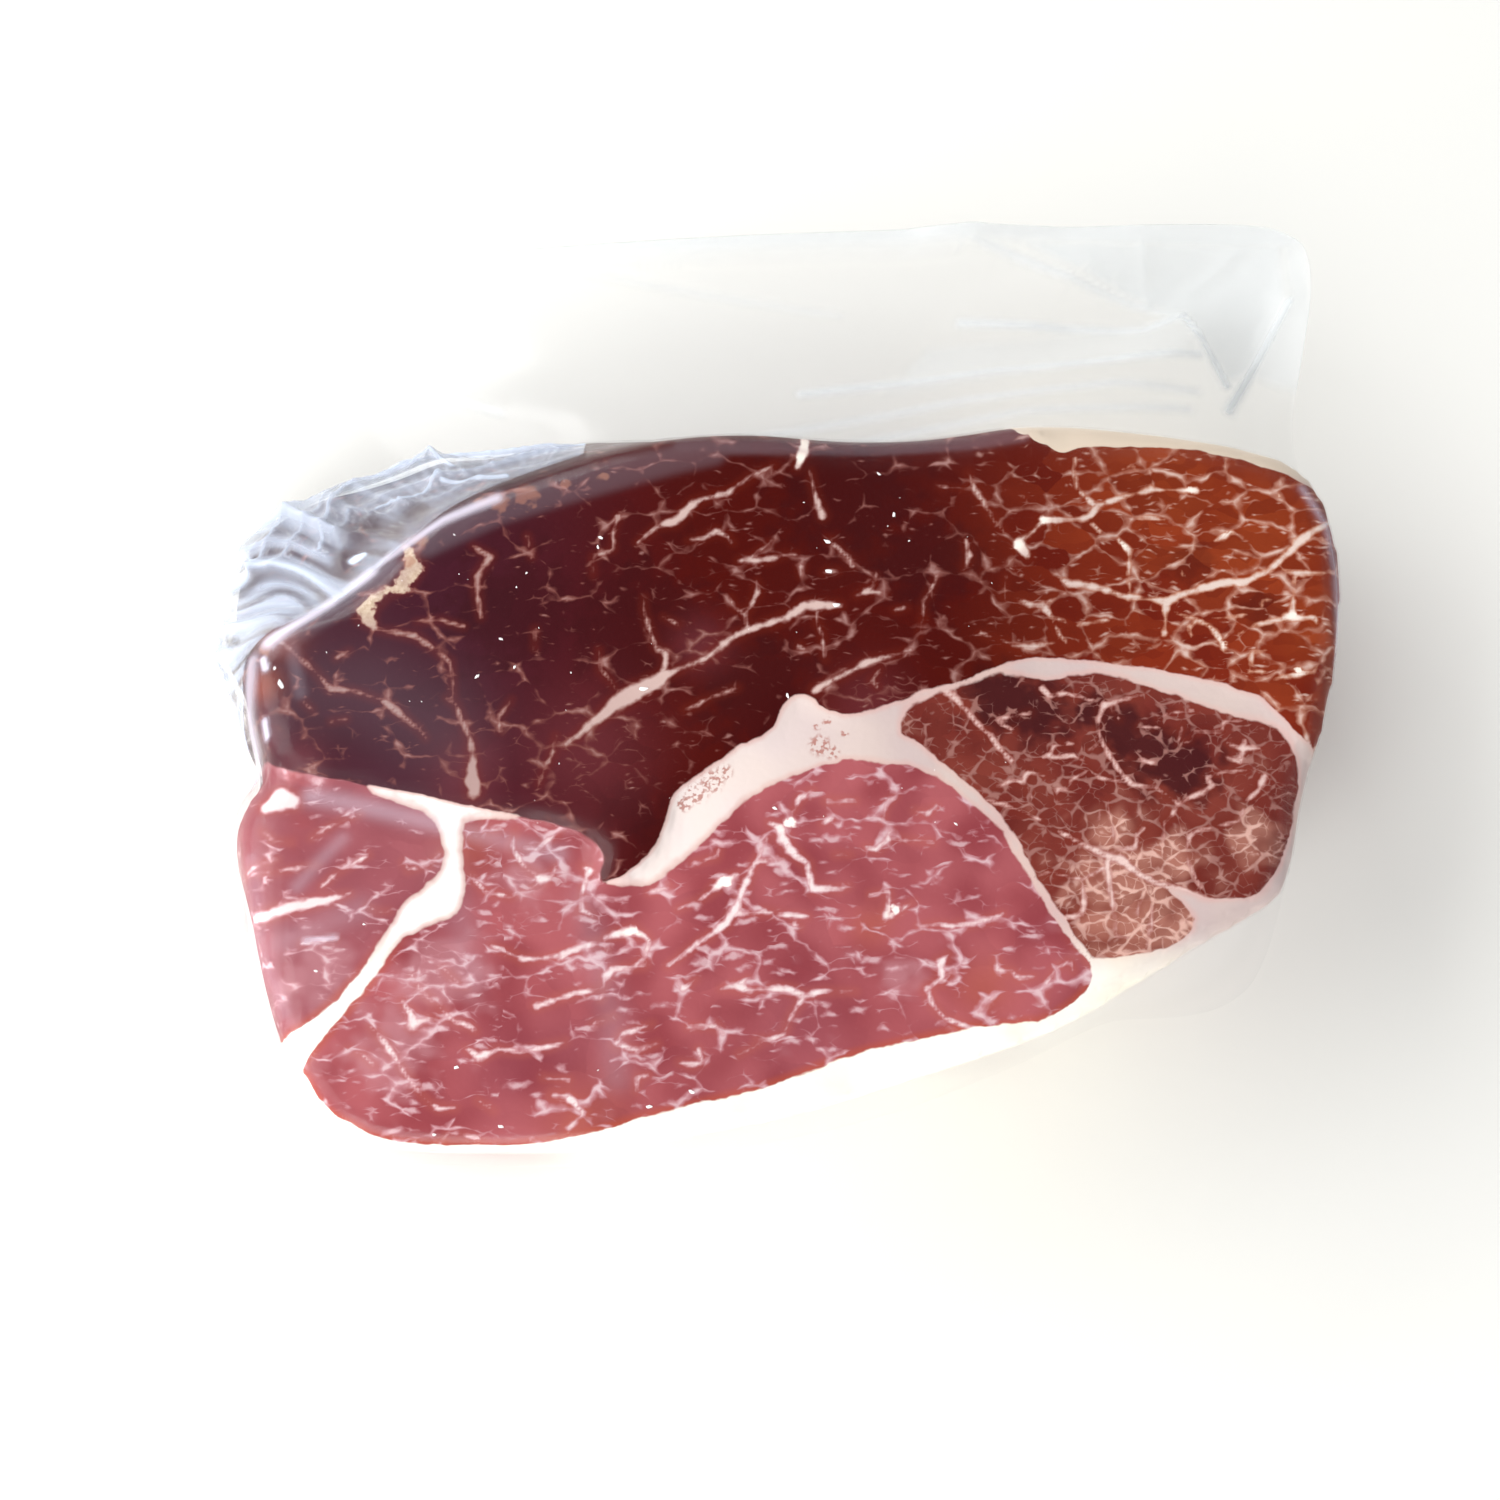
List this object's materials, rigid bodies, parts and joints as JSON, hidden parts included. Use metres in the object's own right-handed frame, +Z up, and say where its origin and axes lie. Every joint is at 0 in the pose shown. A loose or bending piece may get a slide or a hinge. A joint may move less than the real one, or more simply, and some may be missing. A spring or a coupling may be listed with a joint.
{
  "type": "iberian ham block",
  "caption": "Boned block of cured iberian ham, cut across to show its muscles, fat seams and fat cap, lying cut face up in a clear vacuum bag with its free film spread behind it.",
  "frame": {"origin": "on the surface it lies on, under the middle of the bounding box of the whole pack, free film included", "axes": "+Z up, out of the cut face; +X along the block's length, towards the end with the round muscle; +Y towards the bag's sealed end"},
  "size_m": [0.3004, 0.2212, 0.0609],
  "materials": {
    "dark_lean": "dark cured lean, moist under film",
    "marbled_lean": "finely marbled cured lean, moist under film",
    "pink_lean": "pink cured lean, moist under film",
    "fat": "soft cured fat, cream to pink",
    "film": "clear glossy vacuum film"
  },
  "bodies": {
    "root": {"lean_upper": "dark_lean", "lean_upper_left": "dark_lean", "lean_round": "marbled_lean", "lean_lower": "pink_lean", "lean_left": "pink_lean", "fat_seams_and_cap": "fat", "fat_back_cap": "fat", "bag_film": "film"}
  },
  "joints": []
}
